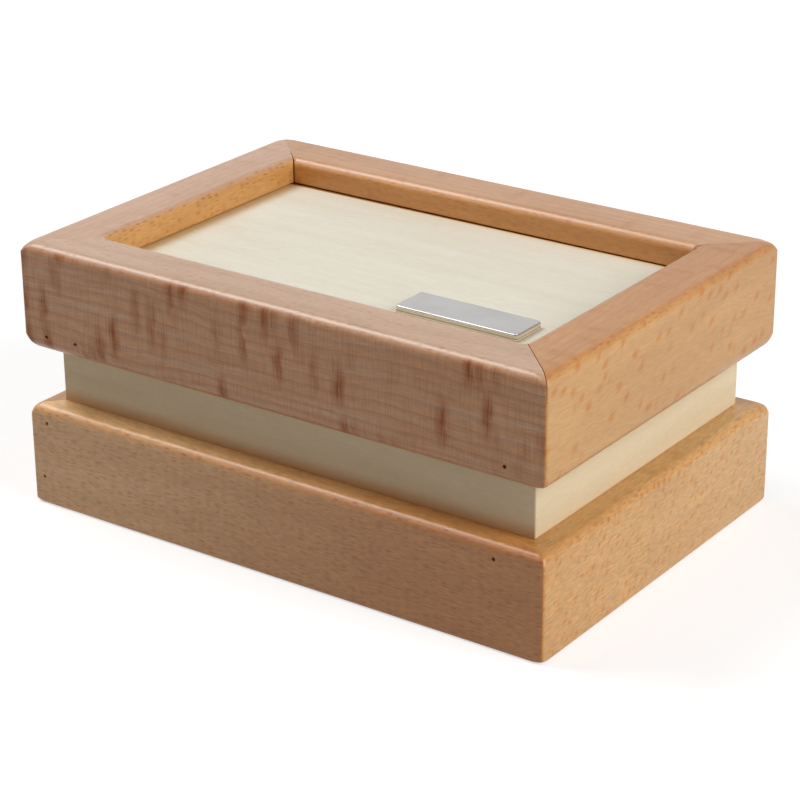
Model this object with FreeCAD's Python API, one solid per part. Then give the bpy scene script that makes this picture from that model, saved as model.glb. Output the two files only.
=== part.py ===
import FreeCAD, Part
import math
import os

Vector = FreeCAD.Vector

# Wooden puzzle box in millimetres, standing on z = 0 with the long front towards -Y.
# A base frame and a lid frame of beech stand above each other with a pale band between them.
# A thin liner forms the compartment and rises inside the lid, which lifts off.

# Outside of the box
box_length = 180.0
box_depth = 124.4
base_frame_height = 32.0
band_height = 17.3
lid_frame_height = 33.1

# Moulding that both frames are cut from
rail_width = 17.8
lip_height = 8.4
lip_round = 2.8
corner_round = 1.0
lid_top_round = 2.9
lid_gap_round = 4.8
base_gap_round = 3.4
base_bottom_round = 1.2

# Band, liner and panels
band_inset = 7.5
band_corner_round = 0.5
liner_thickness = 4.5
liner_edge_ease = 0.8
panel_thickness = 3.0
lid_clearance = 0.3
glue_clearance = 0.1

# Brads: distance from the end of the long rail, height above the frame's lowest edge
brad_diameter = 1.1
brad_set_depth = 1.0
brad_clearance = 0.05
wood_behind_lid_brads = 0.5
lid_left_brads = [(8.6, 5.4), (19.7, 5.6)]
lid_right_brads = [(12.5, 5.3)]
wood_behind_base_brads = 1.3
base_left_brads = [(6.4, 26.7), (4.2, 9.0)]
base_right_brads = [(15.7, 27.1)]

# Nameplate and the block that carries it
nameplate_length = 39.8
nameplate_width = 12.7
nameplate_thickness = 0.5
nameplate_corner = 1.0
nameplate_edge_ease = 0.15
block_border = 0.2
block_thickness = 1.6
block_from_right_lip = 12.7
block_from_front_lip = 15.2

# Disc magnets
magnet_diameter = 8.0
magnet_fit = 0.05
block_magnet_thickness = 1.0
latch_magnet_thickness = 3.0

# Latch under the lid panel and the keeper on the right liner wall
latch_width = 16.0
latch_bar_thickness = 3.0
latch_tail_length = 27.0
latch_tip_chamfer = 1.0
latch_play = 0.3
latch_travel = 5.5
latch_end_clearance = 1.1
latch_shoulder_clearance = 2.5
guide_width = 7.0
guide_length = 44.0
bridge_thickness = 2.0
bridge_width = 8.0
keeper_length = 24.0
keeper_release = 0.6
strip_edge_ease = 0.5

# Points closer than this are the same
touch = 1e-6

# Levels
base_top = base_frame_height
lid_bottom = base_top + band_height
lid_top = lid_bottom + lid_frame_height
base_panel_top = lip_height + panel_thickness
lid_panel_top = lid_top - lip_height
lid_panel_bottom = lid_panel_top - panel_thickness
liner_top = lid_panel_bottom - lid_clearance
block_top = lid_panel_top + block_thickness

# Thickness of the frames' outer walls, outside the liner
base_cheek = rail_width - liner_thickness
lid_cheek = base_cheek - lid_clearance

# Brads stop short of the lid rails' inside and, in the base, of the liner's
lid_brad_length = lid_cheek - brad_set_depth - wood_behind_lid_brads
base_brad_length = rail_width - brad_set_depth - wood_behind_base_brads

# Sides in turn: name, turn about Z from the front, length, distance from the centre to its outside
sides = [
    ("front", 0, box_length, box_depth / 2),
    ("right", 90, box_depth, box_length / 2),
    ("back", 180, box_length, box_depth / 2),
    ("left", 270, box_depth, box_length / 2),
]

# Nameplate centre, on the panel; the latch lies under it
nameplate_x = box_length / 2 - rail_width - block_from_right_lip - block_border - nameplate_length / 2
nameplate_y = -box_depth / 2 + rail_width + block_from_front_lip + block_border + nameplate_width / 2
liner_inside_x = box_length / 2 - rail_width


def round_over(radius, reach):
    """Three (inset, distance from the end face) points of a round-over, cut off at an inset of reach."""
    inset = min(radius, reach)
    end_angle = math.acos(1 - inset / radius)
    points = []
    for share in (0, 0.5, 1):
        angle = end_angle * share
        points.append((radius * (1 - math.cos(angle)), radius * (1 - math.sin(angle))))
    return points


def joined_edges(points, arcs):
    """Closed wire through points; an arc's key is its start index and its value the middle point."""
    edges = []
    for index, start in enumerate(points):
        end = points[(index + 1) % len(points)]
        if index in arcs:
            edges.append(Part.Arc(start, arcs[index], end).toShape())
        else:
            edges.append(Part.LineSegment(start, end).toShape())
    return Part.Wire(edges)


class Frame:
    """One beech frame: the level of its lip face, the way from there to the gap, and its rounds."""

    def __init__(self, lip_face, direction, height, cheek, lip_face_round, gap_round):
        self.lip_face = lip_face
        self.direction = direction
        self.height = height
        self.cheek = cheek
        self.lip_face_round = lip_face_round
        self.gap_round = gap_round

    def level(self, distance):
        return self.lip_face + self.direction * distance

    def lowest(self):
        return min(self.level(0), self.level(self.height))


base_frame = Frame(0.0, 1, base_frame_height, base_cheek, base_bottom_round, base_gap_round)
lid_frame = Frame(lid_top, -1, lid_frame_height, lid_cheek, lid_top_round, lid_gap_round)


def turned(shape, angle):
    """A shape made for the front, turned to its own side."""
    shape.rotate(Vector(0, 0, 0), Vector(0, 0, 1), angle)
    return shape


def trapezium(length, outside, inset, end_inset, low, high):
    """Mitred prism of the front side between two insets from the outside."""
    corners = [
        Vector(-length / 2 + inset, -outside + inset, low),
        Vector(length / 2 - inset, -outside + inset, low),
        Vector(length / 2 - end_inset, -outside + end_inset, low),
        Vector(-length / 2 + end_inset, -outside + end_inset, low),
    ]
    return Part.Face(Part.makePolygon(corners + corners[:1])).extrude(Vector(0, 0, high - low))


def corner_waste(length, outside, radius, low, high, arris):
    """Wood taken off the two upright corners of a side; arris is the rounded column that stays."""
    over = 1.0
    column = Part.makeBox(radius + over, radius + over, high - low + 2 * over)
    column.translate(Vector(-length / 2 - over, -outside - over, low - over))
    kept = arris.copy()
    kept.translate(Vector(-length / 2 + radius, -outside + radius, 0))
    left = column.cut(kept)
    right = left.mirror(Vector(0, 0, 0), Vector(1, 0, 0))
    return [left, right]


def rail_profile(frame, outside):
    """Cross-section of a rail: rounded outside, lip at the face, rebate for the liner behind it."""
    face = round_over(frame.lip_face_round, rail_width)
    gap = round_over(frame.gap_round, rail_width)
    lip = round_over(lip_round, rail_width)

    def at(inset, distance):
        return Vector(0, -outside + inset, frame.level(distance))

    points = [
        at(face[0][0], face[0][1]),
        at(face[2][0], face[2][1]),
        at(rail_width - lip[2][0], lip[2][1]),
        at(rail_width - lip[0][0], lip[0][1]),
        at(rail_width, lip_height),
        at(frame.cheek, lip_height),
        at(frame.cheek, frame.height),
        at(gap[2][0], frame.height - gap[2][1]),
        at(gap[0][0], frame.height - gap[0][1]),
    ]
    arcs = {
        0: at(face[1][0], face[1][1]),
        2: at(rail_width - lip[1][0], lip[1][1]),
        7: at(gap[1][0], frame.height - gap[1][1]),
    }
    return Part.Face(joined_edges(points, arcs))


def rail_arris(frame):
    """Rounded upright corner of a frame, as a turned column that follows the rail's own rounds."""
    face = round_over(frame.lip_face_round, corner_round)
    gap = round_over(frame.gap_round, corner_round)

    def at(inset, distance):
        return Vector(corner_round - inset, 0, frame.level(distance))

    points = [
        at(corner_round, face[2][1]),
        at(face[2][0], face[2][1]),
        at(face[0][0], face[0][1]),
        at(gap[0][0], frame.height - gap[0][1]),
        at(gap[2][0], frame.height - gap[2][1]),
        at(corner_round, frame.height - gap[2][1]),
    ]
    arcs = {1: at(face[1][0], face[1][1]), 3: at(gap[1][0], frame.height - gap[1][1])}
    apart = [points[0]]
    moved = {}
    for index, point in enumerate(points):
        if point.distanceToPoint(apart[-1]) > touch:
            apart.append(point)
        if index in arcs:
            moved[len(apart) - 1] = arcs[index]
    section = Part.Face(joined_edges(apart, moved))
    return section.revolve(Vector(0, 0, 0), Vector(0, 0, 1), 360)


def frame_rails(frame):
    """The four mitred rails of a frame, by side."""
    arris = rail_arris(frame)
    low = frame.lowest()
    high = low + frame.height
    rails = {}
    for side, angle, length, outside in sides:
        stick = rail_profile(frame, outside).extrude(Vector(length, 0, 0))
        stick.translate(Vector(-length / 2, 0, 0))
        rail = stick.common(trapezium(length, outside, 0, rail_width, low, high))
        rail = rail.cut(corner_waste(length, outside, corner_round, low, high, arris))
        rails[side] = turned(rail.removeSplitter(), angle)
    return rails


def band_strips():
    """Pale strips between the frames, glued to the outside of the liner."""
    arris = Part.makeCylinder(band_corner_round, band_height, Vector(0, 0, base_top))
    strips = {}
    for side, angle, length, outside in sides:
        strip = trapezium(length, outside, band_inset, base_cheek, base_top, lid_bottom)
        band_length = length - 2 * band_inset
        band_outside = outside - band_inset
        waste = corner_waste(band_length, band_outside, band_corner_round, base_top, lid_bottom, arris)
        strips[side] = turned(strip.cut(waste), angle)
    return strips


def liner_walls():
    """Thin walls of the compartment, from the base panel up into the lid, with an eased top edge."""
    walls = {}
    for side, angle, length, outside in sides:
        wall = trapezium(length, outside, base_cheek, rail_width, base_panel_top, liner_top)
        outer_face = -outside + base_cheek
        top_edges = [
            edge for edge in wall.Edges
            if all(abs(v.Z - liner_top) < touch and abs(v.Y - outer_face) < touch for v in edge.Vertexes)
        ]
        walls[side] = turned(wall.makeChamfer(liner_edge_ease, top_edges), angle)
    return walls


def panel(cheek, low):
    """Thin board that fills a frame inside its cheeks and meets the lip."""
    length = box_length - 2 * (cheek + glue_clearance)
    depth = box_depth - 2 * (cheek + glue_clearance)
    return Part.makeBox(length, depth, panel_thickness, Vector(-length / 2, -depth / 2, low))


def brad_spots(left, right, lowest):
    """Places of the brads on the front, and the same turned half round for the back."""
    spots = [(-box_length / 2 + along, lowest + height) for along, height in left]
    spots += [(box_length / 2 - along, lowest + height) for along, height in right]
    return spots


def brads(spots, length, radius, start):
    """Pins along Y from the front and from the back, each start below the rail's face."""
    pins = []
    for x, z in spots:
        pin = Part.makeCylinder(radius, length, Vector(x, -box_depth / 2 + start, z), Vector(0, 1, 0))
        pins.append(pin)
        pins.append(turned(pin.copy(), 180))
    return pins


def drilled(pieces, holes):
    """Pieces with the brads' holes cut where they pass."""
    return {side: piece.cut(holes) for side, piece in pieces.items()}


def rounded_plate(length, width, thickness, corner, low):
    """Flat plate centred on the nameplate's place, with round corners."""
    plate = Part.makeBox(length, width, thickness, Vector(-length / 2, -width / 2, 0))
    upright = [edge for edge in plate.Edges if abs(edge.Vertexes[0].Z - edge.Vertexes[1].Z) > touch]
    plate = plate.makeFillet(corner, upright)
    plate.translate(Vector(nameplate_x, nameplate_y, low))
    return plate


def nameplate():
    """Bare metal plate with a softened upper edge."""
    plate = rounded_plate(nameplate_length, nameplate_width, nameplate_thickness, nameplate_corner, block_top)
    rim = [edge for edge in plate.Edges if all(v.Z > block_top + touch for v in edge.Vertexes)]
    return plate.makeChamfer(nameplate_edge_ease, rim)


def disc(thickness, low, fit=0.0):
    """Disc magnet under the middle of the nameplate, or the pocket that it sits in."""
    return Part.makeCylinder(magnet_diameter / 2 + fit, thickness, Vector(nameplate_x, nameplate_y, low))


def nameplate_block():
    """Plywood block under the nameplate, with a pocket in its underside for the magnet."""
    length = nameplate_length + 2 * block_border
    width = nameplate_width + 2 * block_border
    block = rounded_plate(length, width, block_thickness, nameplate_corner + block_border, lid_panel_top)
    return block.cut(disc(block_magnet_thickness, lid_panel_top, magnet_fit))


def eased_strip(length, width, height, corner):
    """Small wooden strip with all its edges eased."""
    strip = Part.makeBox(length, width, height, corner)
    return strip.makeChamfer(strip_edge_ease, strip.Edges)


# Latch at rest: drawn back clear of the keeper, one travel short of locked
latch_high = lid_panel_bottom - latch_play
carrier_low = latch_high - latch_magnet_thickness
latch_low = carrier_low - latch_bar_thickness
latch_tail_x = nameplate_x - latch_tail_length
latch_tip_x = liner_inside_x - latch_end_clearance - latch_travel
latch_tip_length = latch_travel + latch_shoulder_clearance
keeper_depth = liner_inside_x - latch_tip_x - keeper_release
channel_half_width = latch_width / 2 + latch_play


def latch_bar():
    """Sliding bar, chamfered at its tip so that it finds its way under the keeper."""
    outline = [
        (latch_tail_x, latch_low),
        (latch_tip_x - latch_tip_chamfer, latch_low),
        (latch_tip_x, latch_low + latch_tip_chamfer),
        (latch_tip_x, carrier_low),
        (latch_tail_x, carrier_low),
    ]
    points = [Vector(x, nameplate_y - latch_width / 2, z) for x, z in outline]
    return Part.Face(Part.makePolygon(points + points[:1])).extrude(Vector(0, latch_width, 0))


def magnet_carrier():
    """Strip glued on the bar, with a hole for the magnet, that ends short of the bar's tip."""
    length = latch_tip_x - latch_tip_length - latch_tail_x
    corner = Vector(latch_tail_x, nameplate_y - latch_width / 2, carrier_low)
    strip = Part.makeBox(length, latch_width, latch_magnet_thickness, corner)
    return strip.cut(disc(latch_magnet_thickness, carrier_low, magnet_fit))


def latch_guide(direction):
    """Strip glued under the panel beside the latch bar; direction is -1 for the front one."""
    height = lid_panel_bottom - latch_low
    near = nameplate_y + direction * channel_half_width
    low_y = min(near, near + direction * guide_width)
    corner = Vector(nameplate_x - guide_length / 2, low_y, latch_low)
    return eased_strip(guide_length, guide_width, height, corner)


def latch_bridge(direction):
    """Strap across both guides that carries the bar; direction is -1 for the left one."""
    length = 2 * (channel_half_width + guide_width)
    outer = nameplate_x + direction * guide_length / 2
    low_x = min(outer, outer - direction * bridge_width)
    corner = Vector(low_x, nameplate_y - length / 2, latch_low - bridge_thickness)
    return eased_strip(bridge_width, length, bridge_thickness, corner)


def latch_keeper():
    """Block on the right liner wall that the tip slides under."""
    low = carrier_low + latch_play
    corner = Vector(liner_inside_x - keeper_depth, nameplate_y - keeper_length / 2, low)
    return eased_strip(keeper_depth, keeper_length, liner_top - low, corner)


def build():
    """All pieces by node name."""
    radius = brad_diameter / 2
    hole_radius = radius + brad_clearance
    base_spots = brad_spots(base_left_brads, base_right_brads, base_frame.lowest())
    lid_spots = brad_spots(lid_left_brads, lid_right_brads, lid_frame.lowest())
    base_holes = brads(base_spots, brad_set_depth + base_brad_length, hole_radius, 0)
    lid_holes = brads(lid_spots, brad_set_depth + lid_brad_length, hole_radius, 0)

    groups = {
        "base_rail_": drilled(frame_rails(base_frame), base_holes),
        "lid_rail_": drilled(frame_rails(lid_frame), lid_holes),
        "band_": band_strips(),
        "liner_": drilled(liner_walls(), base_holes),
    }
    pieces = {}
    for prefix, group in groups.items():
        for side, shape in group.items():
            pieces[prefix + side] = shape
    pieces["base_panel"] = panel(base_cheek, lip_height)
    pieces["lid_panel"] = panel(lid_cheek, lid_panel_bottom)
    pieces["base_brads"] = Part.makeCompound(brads(base_spots, base_brad_length, radius, brad_set_depth))
    pieces["lid_brads"] = Part.makeCompound(brads(lid_spots, lid_brad_length, radius, brad_set_depth))
    pieces["nameplate"] = nameplate()
    pieces["nameplate_block"] = nameplate_block()
    pieces["block_magnet"] = disc(block_magnet_thickness, lid_panel_top)
    pieces["latch_bar"] = latch_bar()
    pieces["magnet_carrier"] = magnet_carrier()
    pieces["latch_magnet"] = disc(latch_magnet_thickness, carrier_low)
    pieces["latch_guide_front"] = latch_guide(-1)
    pieces["latch_guide_back"] = latch_guide(1)
    pieces["latch_bridge_left"] = latch_bridge(-1)
    pieces["latch_bridge_right"] = latch_bridge(1)
    pieces["latch_keeper"] = latch_keeper()
    return pieces


os.makedirs("parts", exist_ok=True)
for node, shape in build().items():
    shape.exportStep("parts/" + node + ".step")
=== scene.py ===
"""Looks of a wooden puzzle box: two mitred beech frames, a pale band, a recessed panel and a nameplate."""

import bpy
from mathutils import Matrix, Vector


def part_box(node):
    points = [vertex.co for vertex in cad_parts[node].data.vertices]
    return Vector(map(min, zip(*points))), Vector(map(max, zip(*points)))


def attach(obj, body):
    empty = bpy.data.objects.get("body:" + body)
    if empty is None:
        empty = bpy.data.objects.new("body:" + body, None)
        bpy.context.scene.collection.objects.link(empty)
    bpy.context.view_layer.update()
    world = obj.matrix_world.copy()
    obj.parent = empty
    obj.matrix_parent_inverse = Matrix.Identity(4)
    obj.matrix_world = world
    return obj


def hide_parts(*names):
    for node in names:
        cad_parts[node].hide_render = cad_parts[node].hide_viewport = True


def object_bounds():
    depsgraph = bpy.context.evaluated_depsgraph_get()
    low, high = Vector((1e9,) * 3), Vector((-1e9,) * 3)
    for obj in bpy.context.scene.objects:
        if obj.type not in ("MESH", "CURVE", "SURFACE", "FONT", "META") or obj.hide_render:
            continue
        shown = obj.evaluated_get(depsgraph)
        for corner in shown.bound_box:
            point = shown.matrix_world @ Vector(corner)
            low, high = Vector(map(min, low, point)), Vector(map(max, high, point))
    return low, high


bl_info = {
    "name": "Puzzle box",
    "version": (1, 0, 0),
    "blender": (4, 5, 0),
    "location": "3D View > Sidebar > Puzzle box",
    "description": "Builds the pieces, finishes and studio of a wooden puzzle box",
    "category": "Object",
}

import math

import bmesh
import bpy
from bpy.props import FloatProperty, FloatVectorProperty, PointerProperty
from mathutils import Matrix, Vector

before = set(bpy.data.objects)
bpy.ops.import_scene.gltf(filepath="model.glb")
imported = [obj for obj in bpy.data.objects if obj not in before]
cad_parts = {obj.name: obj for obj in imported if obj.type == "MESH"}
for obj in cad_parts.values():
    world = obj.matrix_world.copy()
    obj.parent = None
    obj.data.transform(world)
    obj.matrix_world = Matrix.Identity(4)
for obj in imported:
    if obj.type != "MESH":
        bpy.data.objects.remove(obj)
cad_low, cad_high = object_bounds()

MM = 0.001
MM_PER_METRE = 1000.0

# Points within a hair are one point; levels and insets that are near are the same
HAIR = MM / 1000
NEAR = MM / 20

# Edges that turn further than this are shaded as sharp
SHARP_ANGLE = math.radians(35.0)

# Sides in turn: outward direction of each
SIDES = {
    "front": Vector((0, -1, 0)),
    "right": Vector((1, 0, 0)),
    "back": Vector((0, 1, 0)),
    "left": Vector((-1, 0, 0)),
}
UP = Vector((0, 0, 1))

# Levels and widths taken from the solids
LID_LOW, LID_HIGH = (corner.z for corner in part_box("lid_rail_front"))
BASE_LOW, BASE_HIGH = (corner.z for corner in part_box("base_rail_front"))
BAND_LOW, BAND_HIGH = (corner.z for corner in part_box("band_front"))
LINER_LOW, LINER_HIGH = (corner.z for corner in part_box("liner_front"))
RAIL_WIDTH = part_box("base_rail_front")[1].y - cad_low.y
BAND_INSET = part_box("band_front")[0].y - cad_low.y
BASE_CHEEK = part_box("liner_front")[0].y - cad_low.y
LIP_HEIGHT = LID_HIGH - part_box("lid_panel")[1].z


def length_property(name, description, millimetres):
    """A size in metres that the sidebar shows as a length."""
    size = millimetres * MM
    return FloatProperty(name=name, description=description, default=size, unit="LENGTH", precision=5)


def angle_property(name, description, degrees):
    """A turn that the sidebar shows in degrees."""
    return FloatProperty(name=name, description=description, default=math.radians(degrees), subtype="ANGLE")


def power_property(name, description, watts):
    """A lamp's power."""
    return FloatProperty(name=name, description=description, default=watts, subtype="POWER")


def colour_property(name, description, *colour):
    """A linear colour."""
    return FloatVectorProperty(
        name=name, description=description, default=colour, subtype="COLOR", size=3, min=0.0, max=1.0
    )


class BoxSizes(bpy.types.PropertyGroup):
    """Rounds and small clearances of the wooden pieces."""

    corner_round: length_property("Corner round", "Round of the frames' upright corners", 1.0)
    lid_top_round: length_property("Lid top round", "Round of the lid's upper outer edge", 2.9)
    lid_gap_round: length_property("Lid gap round", "Round of the lid's lower outer edge", 4.8)
    base_gap_round: length_property("Base gap round", "Round of the base's upper outer edge", 3.4)
    base_bottom_round: length_property("Base bottom round", "Round of the base's lower outer edge", 1.2)
    lip_round: length_property("Lip round", "Round of the lip's inner edge", 2.8)
    lip_ease: length_property("Lip ease", "Softened edge where the lip meets the panel", 0.3)
    quirk_height: length_property("Quirk height", "Dark joint left between the lip and the panel", 0.4)
    quirk_depth: length_property("Quirk depth", "How far that joint runs in under the lip", 2.5)
    cheek_ease: length_property("Cheek ease", "Softened edge inside the frames' gap side", 0.3)
    lid_clearance: length_property("Lid clearance", "Room between the liner and the lid", 0.3)
    seam_ease: length_property("Seam ease", "Softened arris along each mitre", 0.07)
    band_corner: length_property("Band corner", "Round of the band's upright corners", 0.5)
    band_ease: length_property("Band ease", "Softened edges of the band", 0.18)
    liner_ease: length_property("Liner ease", "Softened upper edges of the liner", 0.8)
    panel_ease: length_property("Panel ease", "Softened edges of the panels", 0.25)
    plate_corner: length_property("Plate corner", "Round of the nameplate's corners", 1.0)
    plate_ease: length_property("Plate ease", "Softened upper edge of the nameplate", 0.2)
    block_ease: length_property("Block ease", "Softened edges of the nameplate's block", 0.12)
    brad_hole: length_property("Brad hole", "Diameter of the holes that the brads leave", 1.2)
    brad_depth: length_property("Brad depth", "Depth of the brads below the surface", 1.0)


class BoxColours(bpy.types.PropertyGroup):
    """Colours of the woods and metals."""

    beech_light: colour_property("Beech light", "Early wood of the beech", 0.63, 0.325, 0.112)
    beech_dark: colour_property("Beech dark", "Late wood of the beech", 0.56, 0.275, 0.088)
    ring_tint: colour_property("Ring tint", "Darkening along a growth ring", 0.80, 0.74, 0.72)
    spot_tint: colour_property("Spot tint", "Darkening of the rays cut across", 0.93, 0.62, 0.08)
    dash_tint: colour_property("Dash tint", "Darkening of short pores along the grain", 0.76, 0.54, 0.38)
    blotch_tint: colour_property("Blotch tint", "Darkening of the rays cut along", 0.58, 0.26, 0.0)
    hatch_tint: colour_property("Hatch tint", "Darkening of the fine rays cut along", 0.88, 0.66, 0.56)
    band_pale: colour_property("Band pale", "Paler bands on faces cut along the rays", 0.62, 0.39, 0.18)
    # Round edges take this deeper colour: partly burnished wood, partly painted shade where the edges catch
    # no sheen
    edge_burnish_and_shade: colour_property("Edge tint", "Deeper colour of the round edges, burnished and in painted shade", 1.0, 0.80, 0.50)
    lime_light: colour_property("Lime light", "Pale wood of the band", 0.78, 0.64, 0.43)
    lime_dark: colour_property("Lime dark", "Streaks in the pale wood", 0.70, 0.54, 0.33)
    ply_light: colour_property("Ply light", "Face veneer of the panels", 0.83, 0.785, 0.665)
    ply_dark: colour_property("Ply dark", "Clouds in the face veneer", 0.74, 0.67, 0.52)
    ply_core: colour_property("Ply core", "Inner veneers at a cut edge", 0.50, 0.38, 0.20)
    # Painted warm shade: bounced light and the frame's shadow, painted onto the panel beside the left and
    # back lips
    warm_shade_tint: colour_property("Warm shade tint", "Painted warm shade of the panel beside the frame", 1.0, 0.74, 0.42)
    # Painted warm shade on the band just above the base frame
    foot_shade_tint: colour_property("Foot tint", "Warm shade of the band above the base", 0.80, 0.58, 0.42)
    # Painted shadow of the joint between the panel and the back lip
    joint_shadow_tint: colour_property("Joint tint", "Dark joint of the panel along the back lip", 0.40, 0.22, 0.12)
    plate: colour_property("Plate", "Bare metal of the nameplate", 0.50, 0.49, 0.483)
    magnet: colour_property("Magnet", "Nickel on the magnets", 0.62, 0.60, 0.57)
    brad: colour_property("Brad", "Dull steel of the brads", 0.10, 0.075, 0.06)


class StudioSettings(bpy.types.PropertyGroup):
    """Camera and lights."""

    camera_place: FloatVectorProperty(
        name="Camera place", description="Where the camera stands", default=(0.40259, -0.56381, 0.32920),
        subtype="TRANSLATION", unit="LENGTH",
    )
    camera_heading: angle_property("Camera heading", "Turn to the left of +Y", 35.511)
    camera_dip: angle_property("Camera dip", "Look down below the horizon", 23.177)
    camera_roll: angle_property("Camera roll", "Tilt about the line of sight", -0.415)
    lens: FloatProperty(
        name="Lens", description="Focal length on a 36 mm sensor", default=114.9, unit="CAMERA"
    )
    ambient: FloatProperty(name="Ambient", description="Light from all round", default=0.145)
    key_power: power_property("Key power", "Soft light on the right", 4.9)
    top_power: power_property("Top power", "Soft light overhead", 6.0)
    sheen_power: power_property("Sheen power", "Wide light that only shows as sheen", 8.0)
    floor_glow: FloatProperty(name="Floor glow", description="Lifts the lit floor to white", default=0.60)


def sizes():
    return bpy.context.scene.puzzle_box_sizes


def colours():
    return bpy.context.scene.puzzle_box_colours


def studio():
    return bpy.context.scene.puzzle_box_studio


class Finish:
    """A new material on a Principled shader, with short calls that add its nodes."""

    def __init__(self, name, **settings):
        self.material = bpy.data.materials.new(name)
        self.material.use_nodes = True
        self.tree = self.material.node_tree
        self.shader = self.tree.nodes["Principled BSDF"]
        for socket, value in settings.items():
            self.shader.inputs[socket.replace("_", " ")].default_value = value

    def feed(self, socket, value):
        """Links a socket, or sets its value."""
        if isinstance(value, bpy.types.NodeSocket):
            self.tree.links.new(value, socket)
        else:
            socket.default_value = value

    def add(self, kind, inputs, **settings):
        """A node with its settings and its inputs, which are values or sockets."""
        node = self.tree.nodes.new("ShaderNode" + kind)
        for key, value in settings.items():
            setattr(node, key, value)
        for socket, value in inputs.items():
            self.feed(node.inputs[socket], value)
        return node

    def surface(self, socket, value):
        """Feeds a socket of the shader."""
        self.feed(self.shader.inputs[socket], value)

    def math(self, operation, first, second=0.0):
        """Result of a sum on one or two values."""
        return self.add("Math", {0: first, 1: second}, operation=operation).outputs[0]

    def product(self, first, *others):
        """All factors multiplied."""
        for other in others:
            first = self.math("MULTIPLY", first, other)
        return first

    def dot(self, vector, way):
        """How far a vector reaches one way."""
        return self.add("VectorMath", {0: vector, 1: way}, operation="DOT_PRODUCT").outputs["Value"]

    def parts(self, vector):
        """The three parts of a vector."""
        return self.add("SeparateXYZ", {0: vector}).outputs

    def place(self):
        """Where a point lies on the object."""
        return self.add("TexCoord", {}).outputs["Object"]

    def facing(self):
        """The surface's outward direction."""
        return self.add("NewGeometry", {}).outputs["Normal"]

    def stretched(self, vector, along, radial, tangential):
        """Grain coordinates divided by a feature's size in millimetres each way."""
        divisors = (1 / along, 1 / radial, 1 / tangential)
        return self.add("VectorMath", {0: vector, 1: divisors}, operation="MULTIPLY").outputs[0]

    def noise(self, vector, detail=2.0, roughness=0.5):
        """Soft noise with about one feature to a unit."""
        inputs = {"Vector": vector, "Scale": 1.0, "Detail": detail, "Roughness": roughness}
        return self.add("TexNoise", inputs).outputs["Fac"]

    def between(self, value, low, high, to_low=0.0, to_high=1.0):
        """Smooth step of a value from one range to another."""
        inputs = {"Value": value, "From Min": low, "From Max": high, "To Min": to_low, "To Max": to_high}
        return self.add("MapRange", inputs, interpolation_type="SMOOTHSTEP").outputs["Result"]

    def mixed(self, share, first, second, blend="MIX"):
        """Mix of two colours."""
        node = self.add("Mix", {0: share}, data_type="RGBA", blend_type=blend)
        for index, colour in ((6, first), (7, second)):
            if not isinstance(colour, bpy.types.NodeSocket):
                colour = (*colour, 1.0)
            self.feed(node.inputs[index], colour)
        return node.outputs[2]

    def shaded(self, colour, value):
        """Colour times a grey value."""
        grey = self.add("CombineXYZ", {0: value, 1: value, 2: value}).outputs[0]
        return self.mixed(1.0, colour, grey, blend="MULTIPLY")

    def grain_space(self, along, radial, offset):
        """Millimetres along the grain, outwards from the pith and across, from Object coordinates."""
        turn = Matrix((along, radial, along.cross(radial))).to_euler()
        scale = (MM_PER_METRE,) * 3
        inputs = {"Vector": self.place(), "Location": offset, "Rotation": turn, "Scale": scale}
        return self.add("Mapping", inputs).outputs["Vector"]

    def bumped(self, height, depth, strength):
        """Relief of the surface; depth in millimetres."""
        inputs = {"Height": height, "Distance": depth * MM, "Strength": strength}
        self.surface("Normal", self.add("Bump", inputs).outputs["Normal"])


def ring_space(finish, grain):
    """Grain coordinates with the radius from the pith and the way round it, bent a little as trees grow."""
    along, outwards, across = finish.parts(grain)
    bend = finish.noise(finish.stretched(grain, 60, 22, 22), detail=2.0)
    section = finish.add("CombineXYZ", {1: outwards, 2: across}).outputs[0]
    distance = finish.add("VectorMath", {0: section}, operation="LENGTH").outputs["Value"]
    radius = finish.math("ADD", distance, finish.between(bend, 0.0, 1.0, -2.5, 2.5))
    turn = finish.math("ARCTAN2", across, outwards)
    way_round = finish.product(turn, radius)
    return finish.add("CombineXYZ", {0: along, 1: radius, 2: way_round}).outputs[0]


def growth_ring(finish, radius, spacing):
    """0 to 1 through each growth ring."""
    return finish.math("FRACT", finish.product(radius, 1 / spacing))


def flecks(finish, first, second, size, reach, share):
    """Soft spots on a face, one to a cell of a size in millimetres; reach is a spot's radius in cells."""
    place = {0: finish.product(first, 1 / size[0]), 1: finish.product(second, 1 / size[1])}
    inputs = {"Vector": finish.add("CombineXYZ", place).outputs[0], "Scale": 1.0}
    cells = finish.add("TexVoronoi", inputs, voronoi_dimensions="2D").outputs
    core = finish.between(cells["Distance"], reach, 0.0)
    chance = finish.parts(cells["Color"])[0]
    return finish.product(core, finish.between(chance, 1 - share, 1 - share * 0.3))


def round_edges(finish):
    """1 on rounded edges, where the surface turns from one side of the box to the next."""
    turned = finish.add("VectorMath", {0: finish.facing()}, operation="ABSOLUTE").outputs[0]
    x, y, z = finish.parts(turned)
    steepest = finish.math("MAXIMUM", finish.math("MAXIMUM", x, y), z)
    return finish.between(steepest, 0.997, 0.88)


def tinted(colour, tint):
    """Colour times a tint."""
    return [part * share for part, share in zip(colour, tint)]


# Beech figure in millimetres: width of a growth ring, then cells along the grain and across it
BEECH_RING = 2.8
SPINDLE_CELL = (5.4, 6.0)
DASH_CELL = (3.0, 0.8)
RAY_CELL = (6.6, 20.0)

# How far from a rail's middle its colour drifts towards the far end's, in millimetres each way
DRIFT_REACH = 90.0


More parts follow.
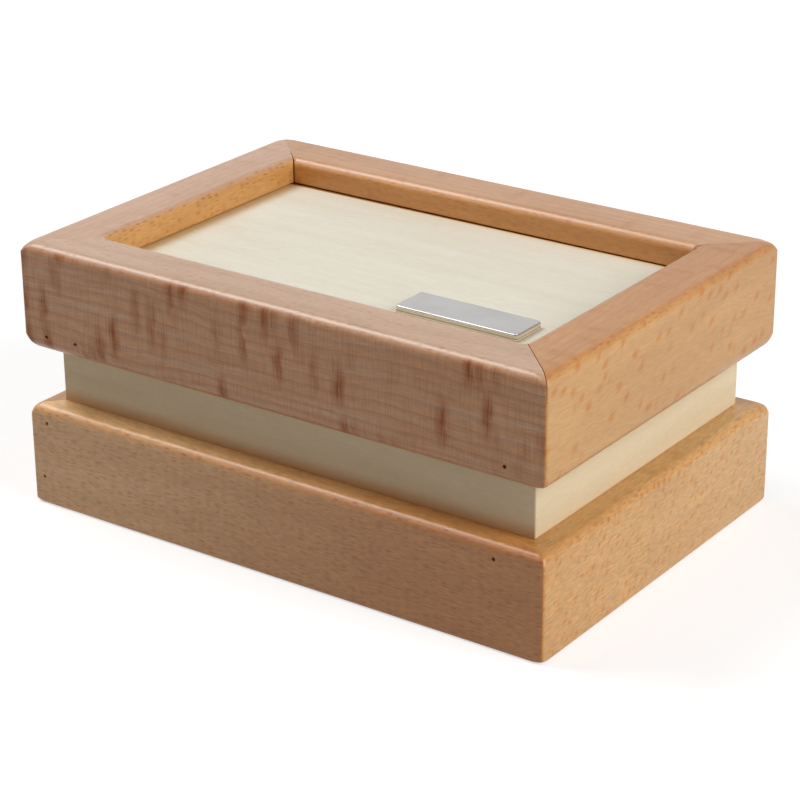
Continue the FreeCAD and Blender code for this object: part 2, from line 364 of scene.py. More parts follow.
def beech(
    name, along, radial, offset, spots=0.3, spot_size=1.0, dashes=0.4, blotches=0.2, rings=0.3, mottle=0.03,
    burnish_and_shade=0.5, tint=(1, 1, 1), crown_and_sheen=(1, 1, 1), far_end=(1, 1, 1),
):
    """Lacquered beech, whose figure depends on how its faces lie to the growth rings.

    Radial is the way out from the pith. Spots and dashes lie on flat-sawn faces, blotches on quarter-sawn
    ones. Mottle is the depth of the fine mottling, and burnish_and_shade the depth of colour on round edges,
    partly burnished wood and partly painted shade where the edges catch no sheen. Tint is for quarter-sawn
    faces, crown_and_sheen for flat-sawn ones, and far_end for the rail's far end. On the lid's tops the tint
    and crown_and_sheen also hold painted sheen, and on the base's front rail the tint holds painted light on
    its top under the lid.
    """
    palette = colours()
    finish = Finish(name, Coat_Roughness=0.33, Specular_IOR_Level=0.0)
    wood = ring_space(finish, finish.grain_space(along, radial, offset))
    length, radius, way_round = finish.parts(wood)
    lie = finish.dot(finish.facing(), radial)
    flat_sawn = finish.between(finish.math("ABSOLUTE", lie), 0.45, 0.9)
    quarter_sawn = finish.math("SUBTRACT", 1.0, flat_sawn)

    cloud = finish.noise(finish.stretched(wood, 55, 9, 9), detail=3.0)
    # Quarter-sawn colour; its tint holds painted sheen on the lid's tops and painted light on the base's
    # front top
    light = tinted(palette.beech_light, tint)
    dark = tinted(palette.beech_dark, tint)
    colour = finish.mixed(finish.between(cloud, 0.25, 0.75), light, dark)

    bands = finish.between(finish.noise(finish.stretched(wood, 30, 1.5, 6), detail=2.0), 0.45, 0.75)
    pale_share = finish.product(bands, quarter_sawn, blotches * 0.75)
    colour = finish.mixed(pale_share, colour, tinted(palette.band_pale, tint))

    ring = growth_ring(finish, radius, BEECH_RING)
    late = finish.product(finish.between(ring, 0.35, 0.95), finish.between(ring, 1.0, 0.95))
    late = finish.product(late, finish.between(flat_sawn, 0.0, 1.0, 1.0, 0.4))
    edges = round_edges(finish)
    sway = finish.between(finish.noise(finish.stretched(wood, 6, 5, 5), detail=2.0), 0.0, 1.0, -1.3, 1.3)
    swayed = finish.math("ADD", length, sway)
    slanted = finish.math("ADD", swayed, finish.product(way_round, 0.45))
    spindle_cell = [side * spot_size for side in SPINDLE_CELL]
    spindles = flecks(finish, slanted, way_round, spindle_cell, reach=0.4, share=0.7)
    short = flecks(finish, length, way_round, DASH_CELL, reach=0.55, share=0.5)
    hatch = finish.between(finish.noise(finish.stretched(wood, 0.5, 8, 14), detail=2.0), 0.4, 0.72)
    patch = finish.noise(finish.stretched(wood, 24, 16, 40), detail=1.0)
    rays = finish.product(
        flecks(finish, swayed, radius, RAY_CELL, reach=0.46, share=0.95),
        finish.between(hatch, 0.0, 1.0, 0.7, 1.0),
        finish.between(patch, 0.32, 0.50, 0.3, 1.0),
        quarter_sawn,
    )
    middle = offset[0]
    drift = finish.between(length, middle - DRIFT_REACH, middle + DRIFT_REACH)
    figure = (
        (late, rings, palette.ring_tint),
        (finish.product(spindles, flat_sawn), spots, palette.spot_tint),
        (finish.product(short, flat_sawn), dashes, palette.dash_tint),
        (finish.product(short, edges), 0.6, palette.dash_tint),
        (rays, blotches, palette.blotch_tint),
        (finish.product(hatch, quarter_sawn), blotches * 0.7, palette.hatch_tint),
        # Round edges: partly burnished wood, partly painted shade where they catch no sheen
        (edges, burnish_and_shade, palette.edge_burnish_and_shade),
        # Flat-sawn faces take the crown tint; on the lid's front rail that is painted sheen on its top
        (flat_sawn, 1.0, [part / share for part, share in zip(crown_and_sheen, tint)]),
        (drift, 1.0, far_end),
    )
    for share, strength, shade in figure:
        colour = finish.mixed(finish.product(share, strength), colour, shade, blend="MULTIPLY")

    pores = finish.noise(finish.stretched(wood, 4.5, 0.3, 0.3), detail=3.0)
    mottling = finish.noise(finish.stretched(wood, 2.6, 0.7, 0.7), detail=3.0)
    mottled = finish.between(mottling, 0.3, 0.7, 1 - mottle, 1 + mottle)
    fibre = finish.product(finish.between(pores, 0.2, 0.8, 0.86, 1.1), mottled)

    finish.surface("Base Color", finish.shaded(colour, fibre))
    finish.surface("Roughness", finish.between(pores, 0.25, 0.75, 0.52, 0.38))
    finish.surface("Coat Weight", finish.between(rays, 0.0, 1.0, 1.0, 1.0 - 0.5 * blotches))
    finish.bumped(pores, 0.06, 0.35)
    return finish.material


# Pale woods: width of a growth ring in millimetres, and the strength of the streaks
PALE_RING = 4.5
STREAK = 0.6


def pale_wood(name, light, dark, along, radial, offset, rough=0.55, layers=0.0, edge_shades=()):
    """Fine pale wood with soft streaks and short pores.

    Layers is the height of the veneers that show where a board's edge is cut.
    """
    finish = Finish(name, Specular_IOR_Level=0.4)
    wood = ring_space(finish, finish.grain_space(along, radial, offset))
    radius = finish.parts(wood)[1]
    cloud = finish.noise(finish.stretched(wood, 70, 8, 8), detail=4.0, roughness=0.6)
    colour = finish.mixed(finish.product(finish.between(cloud, 0.3, 0.75), STREAK), light, dark)
    late = finish.between(growth_ring(finish, radius, PALE_RING), 0.7, 0.98)
    colour = finish.mixed(finish.product(late, STREAK * 0.35), colour, dark)
    pores = finish.noise(finish.stretched(wood, 3.2, 0.2, 0.2), detail=2.0)
    colour = finish.shaded(colour, finish.between(pores, 0.2, 0.8, 0.94, 1.04))
    if layers:
        colour = veneer_lines(finish, colour, layers)
    # Painted shade towards the edges listed for this wood
    finish.surface("Base Color", shade_near_edges(finish, colour, edge_shades))
    finish.surface("Roughness", finish.between(pores, 0.25, 0.75, rough + 0.1, rough - 0.05))
    finish.bumped(pores, 0.05, 0.25)
    return finish.material


def veneer_lines(finish, colour, thickness):
    """Darker cross veneers on the upright edges of a plywood board."""
    upwards = finish.parts(finish.facing())[2]
    upright = finish.between(finish.math("ABSOLUTE", upwards), 0.6, 0.2)
    height = finish.parts(finish.place())[2]
    layer = finish.math("FRACT", finish.product(height, 1 / thickness))
    core = finish.between(finish.math("ABSOLUTE", finish.math("SUBTRACT", layer, 0.5)), 0.3, 0.18)
    return finish.mixed(finish.product(core, upright), colour, colours().ply_core)


def shade_near_edges(finish, colour, edge_shades):
    """Colour with painted shade that deepens towards an edge.

    Each painted shade has the way out to its edge, how far out the edge lies, how far inside it the shade
    starts and is full in millimetres, and its colour.
    """
    for way, edge, start, full, shade in edge_shades:
        reach = finish.dot(finish.place(), way)
        share = finish.between(reach, edge - start * MM, edge - full * MM)
        colour = finish.mixed(share, colour, shade, blend="MULTIPLY")
    return colour


def brushed_metal(name, colour, along, rough, scratch=0.12):
    """Bare metal with fine scratches along one way."""
    finish = Finish(name, Metallic=1.0)
    grain = finish.grain_space(along, UP, (0, 0, 0))
    lines = finish.noise(finish.stretched(grain, 9, 0.12, 0.12), detail=3.0)
    patch = finish.noise(finish.stretched(grain, 12, 9, 9), detail=2.0)
    scratched = [part * (1 - scratch) for part in colour]
    tint = finish.mixed(finish.between(lines, 0.25, 0.75), scratched, colour)
    finish.surface("Base Color", finish.shaded(tint, finish.between(patch, 0.2, 0.8, 0.93, 1.05)))
    finish.surface("Roughness", finish.between(lines, 0.2, 0.8, rough + 0.1, rough - 0.05))
    finish.bumped(lines, 0.02, 0.3)
    return finish.material


def box_face(bm, inset, level):
    """One upright-facing face as large as the box, less an inset all round."""
    extent = cad_high - cad_low - Vector((2 * inset, 2 * inset, 0))
    centre = (cad_low + cad_high) / 2
    shape = Matrix.Translation((centre.x, centre.y, level)) @ Matrix.Diagonal((extent.x, extent.y, 1, 1))
    made = bmesh.ops.create_grid(bm, x_segments=1, y_segments=1, size=0.5, matrix=shape)
    return made["verts"][0].link_faces[0]


def only(kind, geometry):
    """Elements of one kind."""
    return [element for element in geometry if isinstance(element, kind)]


def raised(bm, face, height):
    """The face lifted, with walls drawn up behind it."""
    made = bmesh.ops.extrude_face_region(bm, geom=[face])["geom"]
    bmesh.ops.translate(bm, vec=(0, 0, height), verts=only(bmesh.types.BMVert, made))
    return only(bmesh.types.BMFace, made)[0]


def ring_body(outer_inset, steps):
    """Rectangular ring; steps are the inset and height of each inner wall, from below upwards."""
    bm = bmesh.new()
    face = box_face(bm, outer_inset, 0)
    reached = outer_inset
    for inset, height in steps:
        bmesh.ops.inset_region(
            bm, faces=[face], thickness=inset - reached, use_boundary=True, use_even_offset=True
        )
        lifted = raised(bm, face, height)
        bmesh.ops.delete(bm, geom=[face], context="FACES_ONLY")
        face = lifted
        reached = inset
    outside = [edge for edge in bm.edges if edge.is_boundary]
    inner_rim = list(face.edges)
    bmesh.ops.delete(bm, geom=[face], context="FACES_ONLY")
    made = bmesh.ops.extrude_edge_only(bm, edges=outside)["geom"]
    full_height = sum(height for inset, height in steps)
    bmesh.ops.translate(bm, vec=(0, 0, full_height), verts=only(bmesh.types.BMVert, made))
    outer_rim = [edge for edge in only(bmesh.types.BMEdge, made) if edge.is_boundary]
    bmesh.ops.bridge_loops(bm, edges=inner_rim + outer_rim)
    bmesh.ops.recalc_face_normals(bm, faces=bm.faces)
    return bm


def inset_of(point):
    """How far a point lies inside the box's outline."""
    return min(point.x - cad_low.x, cad_high.x - point.x, point.y - cad_low.y, cad_high.y - point.y)


def edge_kind(edge):
    """(inset, height) of a level edge, or the inset and None of an upright one."""
    first, second = (vert.co for vert in edge.verts)
    inset = max(inset_of(first), inset_of(second))
    if abs(first.z - second.z) > NEAR:
        return inset, None
    return inset, first.z


def softened(bm, rounds, segments):
    """The ring with the edges in rounds, given as (inset, height, radius), rounded in one go."""
    widest = max(radius for inset, height, radius in rounds)
    weights = bm.edges.layers.float.new("bevel_weight_edge")
    for edge in bm.edges:
        inset, height = edge_kind(edge)
        for wanted_inset, wanted_height, radius in rounds:
            if None in (height, wanted_height):
                level = height == wanted_height
            else:
                level = abs(height - wanted_height) < NEAR
            if level and abs(inset - wanted_inset) < NEAR:
                edge[weights] = radius / widest
    mesh = bpy.data.meshes.new("sharp_ring")
    bm.to_mesh(mesh)
    bm.free()
    blank = bpy.data.objects.new("sharp_ring", mesh)
    bpy.context.scene.collection.objects.link(blank)
    bevel = blank.modifiers.new("rounds", "BEVEL")
    bevel.limit_method = "WEIGHT"
    bevel.width = widest
    bevel.segments = segments
    bevel.profile = 0.5
    bevel.use_clamp_overlap = False
    rounded = bmesh.new()
    rounded.from_object(blank, bpy.context.evaluated_depsgraph_get())
    bpy.data.objects.remove(blank)
    bpy.data.meshes.remove(mesh)
    return rounded


def placed(bm, level, turned_over=False):
    """The ring at its level, or turned over with its upper side down there."""
    if turned_over:
        bmesh.ops.rotate(bm, cent=(0, 0, 0), matrix=Matrix.Rotation(math.pi, 3, "X"), verts=bm.verts)
    bmesh.ops.translate(bm, vec=(0, 0, level), verts=bm.verts)
    return bm


# Lid mitres that have opened a little: rail and end, where it gapes, how wide and how deep in millimetres
OPEN_MITRES = {
    ("lid_rail_right", "front"): ("above", 0.24, 9.0),
    ("lid_rail_back", "right"): ("inside", 0.45, 6.0),
    ("lid_rail_back", "left"): ("inside", 0.35, 6.0),
}


def gaping_cut(corner, normal, where, width, depth):
    """Plane that leans away from a mitre so that it gapes at the top or on the inside of the frame."""
    if where == "above":
        hinge = Vector((corner.x, corner.y, LID_HIGH - depth * MM))
        return hinge, normal.normalized() + UP * (width / depth)
    inwards = Vector((-math.copysign(1, corner.x), -math.copysign(1, corner.y), 0))
    hinge = corner + inwards * (RAIL_WIDTH - depth * MM)
    return hinge, normal.normalized() + inwards * (width / depth / 2)


def mitred(ring, node, side, ease):
    """One side cut out of a ring at its mitres, with eased arrises."""
    bm = ring.copy()
    outward = SIDES[side]
    half = (cad_high - cad_low) / 2
    centre = (cad_low + cad_high) / 2
    caps = []
    for end, way in SIDES.items():
        if abs(way.dot(outward)) > 0.5:
            continue
        corner = centre + (outward + way) * half
        cuts = [(corner, way - outward)]
        if (node, end) in OPEN_MITRES:
            cuts.append(gaping_cut(corner, way - outward, *OPEN_MITRES[node, end]))
        for place, normal in cuts:
            geometry = bm.verts[:] + bm.edges[:] + bm.faces[:]
            bmesh.ops.bisect_plane(
                bm, geom=geometry, dist=HAIR, plane_co=place, plane_no=normal, clear_outer=True
            )
            open_edges = [edge for edge in bm.edges if edge.is_boundary]
            caps += bmesh.ops.holes_fill(bm, edges=open_edges, sides=0)["faces"]
    caps = {cap for cap in caps if cap.is_valid}
    arrises = {edge for cap in caps for edge in cap.edges if not caps.issuperset(edge.link_faces)}
    bmesh.ops.bevel(
        bm, geom=list(arrises), offset=ease, segments=1, profile=0.5, affect="EDGES", material=-1,
        clamp_overlap=True,
    )
    bmesh.ops.remove_doubles(bm, verts=bm.verts, dist=HAIR)
    bmesh.ops.recalc_face_normals(bm, faces=bm.faces)
    return bm


def drilled(piece, spots, radius, depth):
    """Round holes cut along Y into the long rails where the brads are set below the surface."""
    bm = bmesh.new()
    for spot in spots:
        turn = Matrix.Translation(spot) @ Matrix.Rotation(math.pi / 2, 4, "X")
        bmesh.ops.create_cone(
            bm, cap_ends=True, segments=20, radius1=radius, radius2=radius, depth=2 * depth, matrix=turn
        )
    mesh = bpy.data.meshes.new("drills")
    bm.to_mesh(mesh)
    bm.free()
    drills = bpy.data.objects.new("drills", mesh)
    bpy.context.scene.collection.objects.link(drills)
    cut = piece.modifiers.new("holes", "BOOLEAN")
    cut.operation = "DIFFERENCE"
    cut.solver = "EXACT"
    cut.object = drills
    holed = bpy.data.meshes.new_from_object(piece.evaluated_get(bpy.context.evaluated_depsgraph_get()))
    piece.modifiers.clear()
    solid = piece.data
    piece.data = holed
    holed.name = piece.name
    for unused in (solid, mesh):
        bpy.data.meshes.remove(unused)


def new_piece(bm, name, material):
    """An object at the origin with its place in its mesh."""
    mesh = bpy.data.meshes.new(name)
    bm.to_mesh(mesh)
    bm.free()
    mesh.materials.append(material)
    piece = bpy.data.objects.new(name, mesh)
    bpy.context.scene.collection.objects.link(piece)
    return piece


def handed_over(piece, body, node):
    """Smooth shading with flat faces kept flat, and the piece's place in the frame."""
    piece.data.shade_smooth()
    piece.data.set_sharp_from_angle(angle=SHARP_ANGLE)
    even = piece.modifiers.new("even_faces", "WEIGHTED_NORMAL")
    even.keep_sharp = True
    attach(piece, body)
    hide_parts(node)


# Points that lie closer together than this belong to one brad
BRAD_APART = 3 * MM


def brad_spots(node, outward):
    """Places of one frame's brads on one long side, on the rail's surface."""
    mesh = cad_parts[node].data
    head_level = outward.y * (cad_high.y - sizes().brad_depth)
    heads = [vertex.co for vertex in mesh.vertices if abs(vertex.co.y - head_level) < NEAR]
    spots = []
    for head in heads:
        near = [spot for spot in spots if (spot[0] - head).length < BRAD_APART]
        if near:
            near[0].append(head)
        else:
            spots.append([head])
    centres = [(Vector(map(max, *group)) + Vector(map(min, *group))) / 2 for group in spots]
    return [Vector((centre.x, outward.y * cad_high.y, centre.z)) for centre in centres]


class PUZZLEBOX_OT_frames(bpy.types.Operator):
    """Make the eight mitred beech rails of the base and the lid"""

    bl_idname = "puzzle_box.frames"
    bl_label = "Beech frames"

    def execute(self, context):
        size = sizes()
        lid_cheek = BASE_CHEEK - size.lid_clearance
        lid_ring = self.make_ring(LID_HIGH - LID_LOW, lid_cheek, size.lid_top_round, size.lid_gap_round)
        base_height = BASE_HIGH - BASE_LOW
        base_ring = self.make_ring(base_height, BASE_CHEEK, size.base_bottom_round, size.base_gap_round)
        self.make_rails("lid", placed(lid_ring, LID_LOW))
        self.make_rails("base", placed(base_ring, BASE_HIGH, turned_over=True))
        return {"FINISHED"}

    def make_ring(self, height, cheek, lip_face_round, gap_round):
        """The whole moulding of a frame, with its gap side down."""
        size = sizes()
        ledge = height - LIP_HEIGHT
        lip_low = ledge + size.quirk_height
        steps = [
            (cheek, ledge),
            (RAIL_WIDTH - size.quirk_depth, size.quirk_height),
            (RAIL_WIDTH, height - lip_low),
        ]
        rounds = [
            (0.0, None, size.corner_round),
            (0.0, height, lip_face_round),
            (0.0, 0.0, gap_round),
            (RAIL_WIDTH, height, size.lip_round),
            (RAIL_WIDTH, lip_low, size.lip_ease),
            (cheek, 0.0, size.cheek_ease),
        ]
        return softened(ring_body(0.0, steps), rounds, segments=8)

    def make_rails(self, body, ring):
        """The frame's four rails, cut at the mitres."""
        size = sizes()
        for side, outward in SIDES.items():
            node = body + "_rail_" + side
            shape = mitred(ring, node, side, size.seam_ease)
            rail = new_piece(shape, "beech_" + node, rail_wood(node, outward))
            if outward.y:
                drilled(rail, brad_spots(body + "_brads", outward), size.brad_hole / 2, size.brad_depth)
            handed_over(rail, body, node)
        ring.free()


# How each rail was cut and what it shows; the tints of the lid's tops and of the top of the base's front
# rail are partly painted sheen and painted light
RAIL_CUTS = {
    # Its crown tints the top, partly as painted sheen
    "lid_rail_front": dict(
        radial=UP, offset=(0, 70, 4), spots=0.1, spot_size=0.6, dashes=0.5, blotches=1.0, rings=0.7,
        tint=(0.96, 0.94, 1.24), crown_and_sheen=(0.965, 1.22, 2.38), far_end=(0.98, 0.98, 0.98), burnish_and_shade=0.4,
    ),
    "lid_rail_right": dict(
        offset=(310, 55, 12), spots=0.9, dashes=0.08, rings=0.25,
        tint=(0.91, 0.835, 0.81), crown_and_sheen=(1.02, 1.07, 1.07), far_end=(0.90, 0.86, 0.83), burnish_and_shade=0.5,
    ),
    "lid_rail_back": dict(
        offset=(620, 80, -8), spot_size=0.6,
        tint=(0.95, 0.98, 1.38), crown_and_sheen=(0.97, 0.86, 0.74), burnish_and_shade=0.1,
    ),
    "lid_rail_left": dict(
        offset=(930, 60, 20), spot_size=0.6, dashes=0.8,
        tint=(1.0, 1.19, 2.25), crown_and_sheen=(1.10, 1.11, 1.03), burnish_and_shade=0.2,
    ),
    # Its strong tint paints light and sheen onto its top strip under the lid
    "base_rail_front": dict(
        offset=(1240, 75, -5), spots=0.2, spot_size=0.6, dashes=0.75, rings=0.25, mottle=0.1,
        tint=(1.5, 1.9, 2.6), crown_and_sheen=(1.235, 1.43, 2.1), far_end=(0.68, 0.49, 0.31), burnish_and_shade=0.85,
    ),
    "base_rail_right": dict(
        offset=(1550, 65, 9), spots=0.9, spot_size=0.55, dashes=0.2, rings=0.25, mottle=0.1,
        tint=(1.0, 1.07, 1.0), crown_and_sheen=(1.10, 1.14, 1.12), far_end=(1.04, 1.16, 1.42), burnish_and_shade=0.5,
    ),
    "base_rail_back": dict(offset=(1860, 70, 14), spots=0.4, spot_size=0.7, tint=(1.0, 1.02, 1.0)),
    "base_rail_left": dict(offset=(2170, 85, -12), spots=0.4, spot_size=0.7, tint=(0.92, 0.93, 1.12)),
}


def rail_wood(node, outward):
    """Beech with its grain along the rail, and the bark side outwards unless its cut says otherwise."""
    return beech("beech_" + node, UP.cross(outward), **{"radial": outward, **RAIL_CUTS[node]})


# Where each pale piece lies in its tree, in millimetres along the grain, out from the pith and across
PALE_CUTS = {
    "band": Vector((0, 60, 15)),
    "liner": Vector((90, 45, -10)),
    "lid_panel": Vector((40, 35, 26)),
    "base_panel": Vector((430, 50, -18)),
    "nameplate_block": Vector((220, 40, 8)),
}

# From one side's cut of a ring to the next
NEXT_SIDE = Vector((270, 0, 0))

# How far up from the base frame each side of the band has painted shade, in millimetres
FOOT_REACH = {"front": 5.3, "right": 0.8, "back": 0.8, "left": 0.8}


def lime_sides(ring, family, piece_prefix, foot_reach):
    """Cuts a pale ring into four mitred sides, with painted shade at the foot where foot_reach has them."""
    palette = colours()
    for index, (side, outward) in enumerate(SIDES.items()):
        node = family + "_" + side
        edge_shades = []
        # Painted warm shade at the band's foot, above the base frame
        if side in foot_reach:
            edge_shades.append((-UP, -BASE_HIGH, foot_reach[side], 0.0, palette.foot_shade_tint))
        wood = pale_wood(
            "lime_" + node, palette.lime_light, palette.lime_dark, UP.cross(outward), outward,
            PALE_CUTS[family] + index * NEXT_SIDE, edge_shades=edge_shades,
        )
        piece = new_piece(mitred(ring, node, side, sizes().seam_ease), piece_prefix + side, wood)
        handed_over(piece, "base", node)
    ring.free()


class PUZZLEBOX_OT_band(bpy.types.Operator):
    """Make the four pale strips between the frames"""

    bl_idname = "puzzle_box.band"
    bl_label = "Band"

    def execute(self, context):
        size = sizes()
        height = BAND_HIGH - BAND_LOW
        rounds = [
            (BAND_INSET, None, size.band_corner),
            (BAND_INSET, 0.0, size.band_ease),
            (BAND_INSET, height, size.band_ease),
        ]
        ring = softened(ring_body(BAND_INSET, [(BASE_CHEEK, height)]), rounds, segments=4)
        lime_sides(placed(ring, BAND_LOW), "band", "pale_band_", FOOT_REACH)
        return {"FINISHED"}


class PUZZLEBOX_OT_liner(bpy.types.Operator):
    """Make the four thin walls of the compartment"""

    bl_idname = "puzzle_box.liner"
    bl_label = "Liner"

    def execute(self, context):
        size = sizes()
        height = LINER_HIGH - LINER_LOW
        rounds = [(BASE_CHEEK, height, size.liner_ease), (RAIL_WIDTH, height, size.liner_ease / 2)]
        ring = softened(ring_body(BASE_CHEEK, [(RAIL_WIDTH, height)]), rounds, segments=3)
        lime_sides(placed(ring, LINER_LOW), "liner", "liner_wall_", {})
        return {"FINISHED"}


def board(node, ease):
    """Thin board with softened edges in the place of a node."""
    low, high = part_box(node)
    bm = bmesh.new()
    extent = high - low
    shape = Matrix.Translation((low + high) / 2) @ Matrix.Diagonal((*extent, 1))
    bmesh.ops.create_cube(bm, size=1.0, matrix=shape)
    bmesh.ops.bevel(
        bm, geom=bm.edges[:], offset=ease, segments=2, profile=0.5, affect="EDGES", material=-1,
        clamp_overlap=True,
    )
    return bm


# Heights of a pair of veneers in the panels and in the nameplate's block
PANEL_VENEER = 1.5 * MM
BLOCK_VENEER = 0.8 * MM

# How fast the painted shadow of the joint along the back lip narrows to the right
JOINT_SHADOW_TAPER = 0.008


class PUZZLEBOX_OT_panels(bpy.types.Operator):
    """Make the lid's recessed panel and the compartment's bottom"""

    bl_idname = "puzzle_box.panels"
    bl_label = "Panels"

    def execute(self, context):
        palette = colours()
        along, back, left = SIDES["right"], SIDES["back"], SIDES["left"]
        left_lip, back_lip = cad_high.x - RAIL_WIDTH, cad_high.y - RAIL_WIDTH
        lid_edge_shades = (
            # Painted warm shade beside the left and back lips
            (left, left_lip, 5.5, 0.0, palette.warm_shade_tint),
            (back, back_lip, 1.8, 0.0, palette.warm_shade_tint),
            # Painted shadow of the joint along the back lip, narrowing to the right
            (back - along * JOINT_SHADOW_TAPER, back_lip, 0.5, 0.1, palette.joint_shadow_tint),
        )
        for body, edge_shades in (("lid", lid_edge_shades), ("base", ())):
            node = body + "_panel"
            wood = pale_wood(
                "ply_" + node, palette.ply_light, palette.ply_dark, along, UP, PALE_CUTS[node],
                rough=0.5, layers=PANEL_VENEER, edge_shades=edge_shades,
            )
            piece = new_piece(board(node, sizes().panel_ease), "ply_" + node, wood)
            handed_over(piece, body, node)
        return {"FINISHED"}


def tablet(node, corner, ease, segments):
    """Flat plate with round corners and a softened upper edge, in the place of a node."""
    low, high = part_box(node)
    extent = high - low
    centre = (low + high) / 2
    bm = bmesh.new()
    shape = Matrix.Translation((centre.x, centre.y, low.z)) @ Matrix.Diagonal((extent.x, extent.y, 1, 1))
    bmesh.ops.create_grid(bm, x_segments=1, y_segments=1, size=0.5, matrix=shape)
    bmesh.ops.bevel(
        bm, geom=bm.verts[:], offset=corner, segments=6, profile=0.5, affect="VERTICES", material=-1
    )
    top = raised(bm, bm.faces[:][0], extent.z)
    bmesh.ops.bevel(
        bm, geom=list(top.edges), offset=ease, segments=segments, profile=0.5, affect="EDGES", material=-1
    )
    bmesh.ops.recalc_face_normals(bm, faces=bm.faces)
    return bm


class PUZZLEBOX_OT_nameplate(bpy.types.Operator):
    """Make the bare metal nameplate and its plywood block"""

    bl_idname = "puzzle_box.nameplate"
    bl_label = "Nameplate"

    def execute(self, context):
        size = sizes()
        palette = colours()
        along = SIDES["right"]
        metal = brushed_metal("plate_metal", palette.plate, along, rough=0.3)
        shape = tablet("nameplate", size.plate_corner, size.plate_ease, segments=3)
        plate = new_piece(shape, "metal_nameplate", metal)
        handed_over(plate, "nameplate_slider", "nameplate")
        ply = pale_wood(
            "ply_block", palette.ply_light, palette.ply_dark, along, UP, PALE_CUTS["nameplate_block"],
            layers=BLOCK_VENEER,
        )
        corner = size.plate_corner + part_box("nameplate")[0].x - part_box("nameplate_block")[0].x
        shape = tablet("nameplate_block", corner, size.block_ease, segments=2)
        block = new_piece(shape, "ply_nameplate_block", ply)
        handed_over(block, "nameplate_slider", "nameplate_block")
        return {"FINISHED"}


# Where the first beech strip of the latch lies in its tree, and from one strip to the next, in millimetres
STRIP_CUT = Vector((0, 50, 6))
NEXT_STRIP = Vector((130, 0, 0))


class PUZZLEBOX_OT_fittings(bpy.types.Operator):
    """Finish the latch, its guides and keeper, the magnets and the brads"""

    bl_idname = "puzzle_box.fittings"
    bl_label = "Latch, magnets and brads"

    def execute(self, context):
        palette = colours()
        along = SIDES["right"]
        across = SIDES["back"]
        strips = {
            "latch_bar": along,
            "magnet_carrier": along,
            "latch_guide_front": along,
            "latch_guide_back": along,
            "latch_bridge_left": across,
            "latch_bridge_right": across,
            "latch_keeper": across,
        }
        for index, (node, way) in enumerate(strips.items()):
            self.finish(node, beech("raw_" + node, way, UP, STRIP_CUT + index * NEXT_STRIP))
        nickel = brushed_metal("nickel", palette.magnet, along, rough=0.22, scratch=0.05)
        steel = brushed_metal("brad_steel", palette.brad, across, rough=0.5)
        for node in ("block_magnet", "latch_magnet"):
            self.finish(node, nickel)
        for node in ("base_brads", "lid_brads"):
            self.finish(node, steel)
        return {"FINISHED"}

    def finish(self, node, material):
        """Gives a solid that stays its material."""
        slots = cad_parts[node].data.materials
        slots.clear()
        slots.append(material)


def look_at(place, target):
    """Matrix of a lamp at a place that shines at a target."""
    aim = (Vector(target) - Vector(place)).to_track_quat("-Z", "Y")
    return Matrix.Translation(place) @ aim.to_matrix().to_4x4()


# Place and width of each lamp in metres
LAMPS = {
    "key_light": ((0.72, 0.02, 0.44), 0.6),
    "top_light": ((-0.55, -0.14, 0.90), 0.48),
    "sheen_light": ((-0.60, -0.40, 0.88), 1.2),
}

# Half the floor's width in metres, and its grey
FLOOR_REACH = 6.0
FLOOR_GREY = 0.55

# Where the floor's glow starts to rise and where it is full, in metres from the middle of the box
GLOW_START = 0.15
GLOW_FULL = 0.9


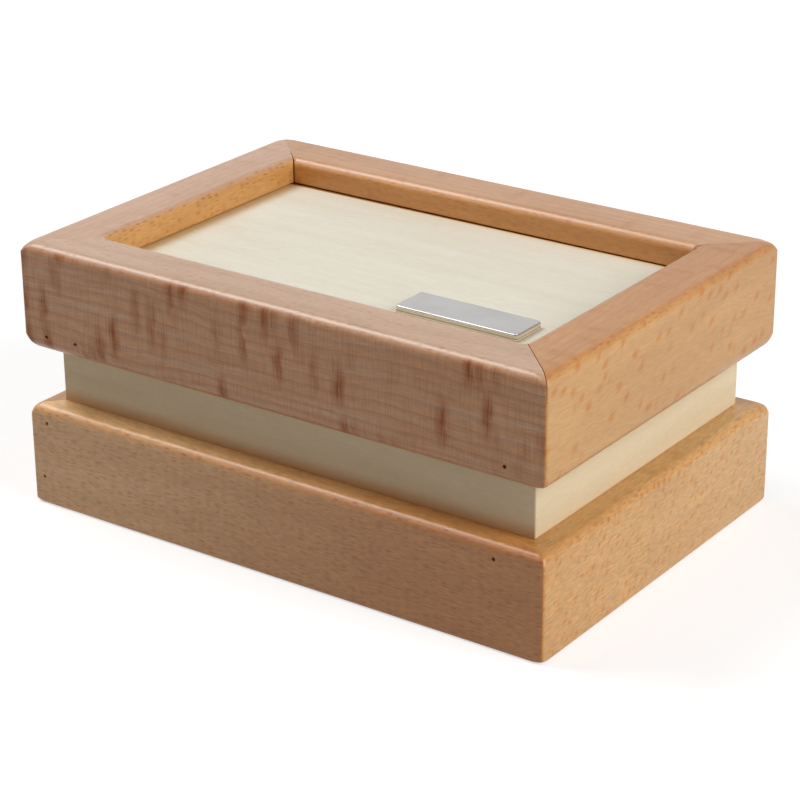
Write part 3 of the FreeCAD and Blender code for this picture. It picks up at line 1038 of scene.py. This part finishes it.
class PUZZLEBOX_OT_studio(bpy.types.Operator):
    """Set up the floor, the lights and the camera"""

    bl_idname = "puzzle_box.studio"
    bl_label = "Studio"

    def execute(self, context):
        settings = studio()
        scene = context.scene
        scene.view_settings.view_transform = "Standard"
        self.make_camera(scene, settings)
        self.make_lamp("key_light", settings.key_power)
        self.make_lamp("top_light", settings.top_power)
        sheen = self.make_lamp("sheen_light", settings.sheen_power)
        sheen.visible_diffuse = False
        self.make_world(scene, settings)
        self.make_floor(settings)
        return {"FINISHED"}

    def make_camera(self, scene, settings):
        data = bpy.data.cameras.new("photo_camera")
        data.lens = settings.lens
        camera = bpy.data.objects.new("photo_camera", data)
        turn = Matrix.Rotation(settings.camera_heading, 4, "Z")
        turn @= Matrix.Rotation(math.pi / 2 - settings.camera_dip, 4, "X")
        turn @= Matrix.Rotation(settings.camera_roll, 4, "Z")
        camera.matrix_world = Matrix.Translation(settings.camera_place) @ turn
        scene.collection.objects.link(camera)
        scene.camera = camera

    def make_lamp(self, name, power):
        place, width = LAMPS[name]
        data = bpy.data.lights.new(name, "AREA")
        data.shape = "SQUARE"
        data.size = width
        data.energy = power
        lamp = bpy.data.objects.new(name, data)
        lamp.matrix_world = look_at(place, (0.0, 0.0, cad_high.z / 2))
        bpy.context.scene.collection.objects.link(lamp)
        return lamp

    def seen_rays(self, tree):
        """1 for rays that show the background: from the camera, a mirror or glass."""
        rays = tree.nodes.new("ShaderNodeLightPath").outputs
        seen = rays["Is Camera Ray"]
        for name in ("Is Glossy Ray", "Is Transmission Ray"):
            either = tree.nodes.new("ShaderNodeMath")
            either.operation = "MAXIMUM"
            tree.links.new(seen, either.inputs[0])
            tree.links.new(rays[name], either.inputs[1])
            seen = either.outputs[0]
        return seen

    def make_world(self, scene, settings):
        world = bpy.data.worlds.new("white_studio")
        world.use_nodes = True
        scene.world = world
        tree = world.node_tree
        lit = tree.nodes["Background"]
        lit.inputs["Color"].default_value = (1, 1, 1, 1)
        lit.inputs["Strength"].default_value = settings.ambient
        white = tree.nodes.new("ShaderNodeBackground")
        white.inputs["Color"].default_value = (1, 1, 1, 1)
        choice = tree.nodes.new("ShaderNodeMixShader")
        tree.links.new(self.seen_rays(tree), choice.inputs[0])
        tree.links.new(lit.outputs[0], choice.inputs[1])
        tree.links.new(white.outputs[0], choice.inputs[2])
        tree.links.new(choice.outputs[0], tree.nodes["World Output"].inputs["Surface"])

    def make_floor(self, settings):
        bm = bmesh.new()
        bmesh.ops.create_grid(bm, x_segments=8, y_segments=8, size=FLOOR_REACH)
        grey = (FLOOR_GREY, FLOOR_GREY, FLOOR_GREY, 1.0)
        finish = Finish("white_floor", Base_Color=grey, Roughness=0.9, Specular_IOR_Level=0.0)
        distance = finish.add("VectorMath", {0: finish.place()}, operation="LENGTH").outputs["Value"]
        spread = finish.between(distance, GLOW_START, GLOW_FULL, settings.floor_glow, 1.0)
        finish.surface("Emission Color", (1, 1, 1, 1))
        finish.surface("Emission Strength", finish.product(self.seen_rays(finish.tree), spread))
        new_piece(bm, "studio_floor", finish.material)


class PUZZLEBOX_PT_panel(bpy.types.Panel):
    """Sidebar list of the puzzle box's pieces and settings"""

    bl_idname = "PUZZLEBOX_PT_panel"
    bl_label = "Puzzle box"
    bl_space_type = "VIEW_3D"
    bl_region_type = "UI"
    bl_category = "Puzzle box"

    def draw(self, context):
        for operator in OPERATORS:
            self.layout.operator(operator.bl_idname)
        for group in (sizes(), colours(), studio()):
            for name in group.bl_rna.properties.keys():
                if name not in ("name", "rna_type"):
                    self.layout.prop(group, name)


OPERATORS = [
    PUZZLEBOX_OT_frames,
    PUZZLEBOX_OT_band,
    PUZZLEBOX_OT_liner,
    PUZZLEBOX_OT_panels,
    PUZZLEBOX_OT_nameplate,
    PUZZLEBOX_OT_fittings,
    PUZZLEBOX_OT_studio,
]
GROUPS = {"puzzle_box_sizes": BoxSizes, "puzzle_box_colours": BoxColours, "puzzle_box_studio": StudioSettings}


def register():
    for cls in [*GROUPS.values(), *OPERATORS, PUZZLEBOX_PT_panel]:
        bpy.utils.register_class(cls)
    for name, group in GROUPS.items():
        setattr(bpy.types.Scene, name, PointerProperty(type=group))


def unregister():
    for name in GROUPS:
        delattr(bpy.types.Scene, name)
    for cls in [PUZZLEBOX_PT_panel, *reversed(OPERATORS), *GROUPS.values()]:
        bpy.utils.unregister_class(cls)


def main():
    register()
    for operator in OPERATORS:
        family, name = operator.bl_idname.split(".")
        getattr(getattr(bpy.ops, family), name)()


if __name__ == "__main__":
    main()
